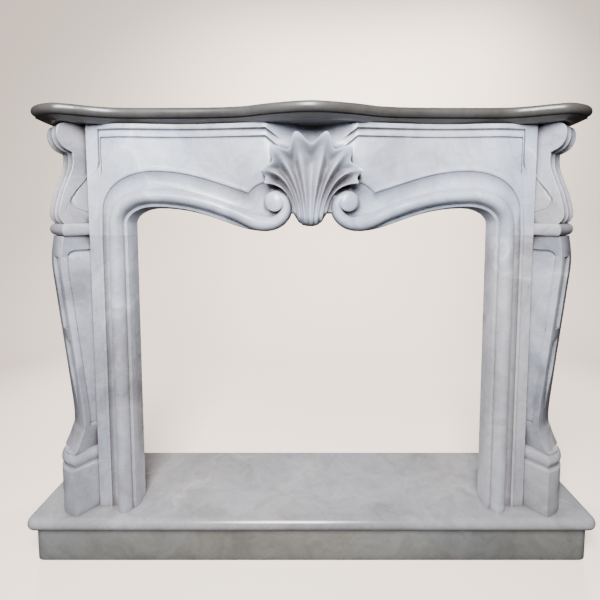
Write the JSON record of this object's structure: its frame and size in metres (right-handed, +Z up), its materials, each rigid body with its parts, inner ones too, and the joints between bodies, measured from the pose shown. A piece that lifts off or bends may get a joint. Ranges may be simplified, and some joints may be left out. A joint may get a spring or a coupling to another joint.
{
  "type": "fireplace mantel",
  "caption": "Carved marble fireplace mantel with a serpentine shelf, canted scroll legs, an arched frieze with volutes and a scallop shell, and a raised hearth.",
  "frame": {"origin": "middle of the riser's underside, at floor level", "axes": "+X to the viewer's right, the front faces -Y, the wall is on +Y, +Z up"},
  "size_m": [1.5908, 0.3775, 1.252],
  "materials": {
    "marble": "polished",
    "marble_shelf": "polished",
    "marble_riser": "honed"
  },
  "bodies": {
    "root": {"hearth_riser": "marble_riser", "hearth_slab": "marble", "left_jamb": "marble", "left_leg": "marble", "left_console": "marble", "right_jamb": "marble", "right_leg": "marble", "right_console": "marble", "frieze": "marble", "shelf": "marble_shelf"}
  },
  "joints": []
}
